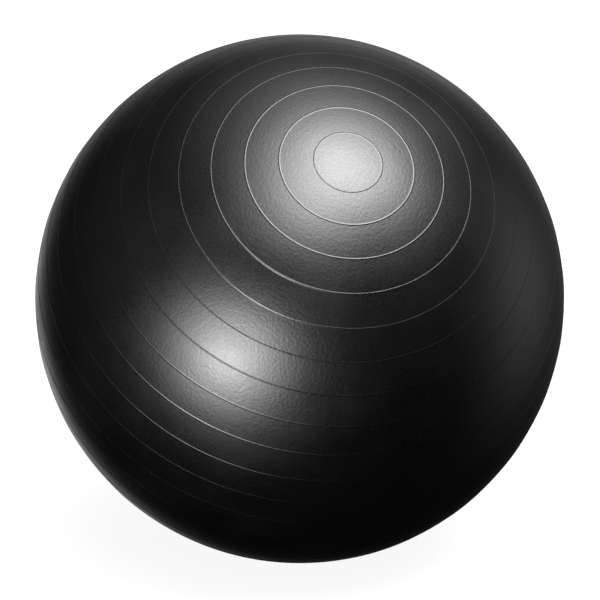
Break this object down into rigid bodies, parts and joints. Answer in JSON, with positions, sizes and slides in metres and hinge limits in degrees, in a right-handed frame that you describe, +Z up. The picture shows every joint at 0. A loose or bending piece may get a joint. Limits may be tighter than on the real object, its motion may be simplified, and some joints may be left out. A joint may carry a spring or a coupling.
{
  "type": "exercise ball",
  "caption": "Large inflatable gym ball of black PVC with fine moulded rings around a smooth pole, and a flush stopper plug that pulls out of its valve.",
  "frame": {"origin": "centre of the inflated ball", "axes": "+Z up as the ball lies on the floor; the ring axis leans 45 degrees from +Z towards +X and -Y at the smooth pole, and the valve is at the other end, low at the -X, +Y side"},
  "size_m": [0.65, 0.65, 0.6498],
  "materials": {
    "skin_pvc": "satin",
    "sleeve_pvc": "matte",
    "plug_pe": "satin"
  },
  "bodies": {
    "ball": {"shell": "skin_pvc", "valve_sleeve": "sleeve_pvc"},
    "plug": {"plug": "plug_pe"}
  },
  "joints": [
    {"name": "plug_pull", "type": "slide", "parent": "ball", "child": "plug", "axis": [-0.5, 0.5, -0.7071], "range_m": [0, 0.03]}
  ]
}
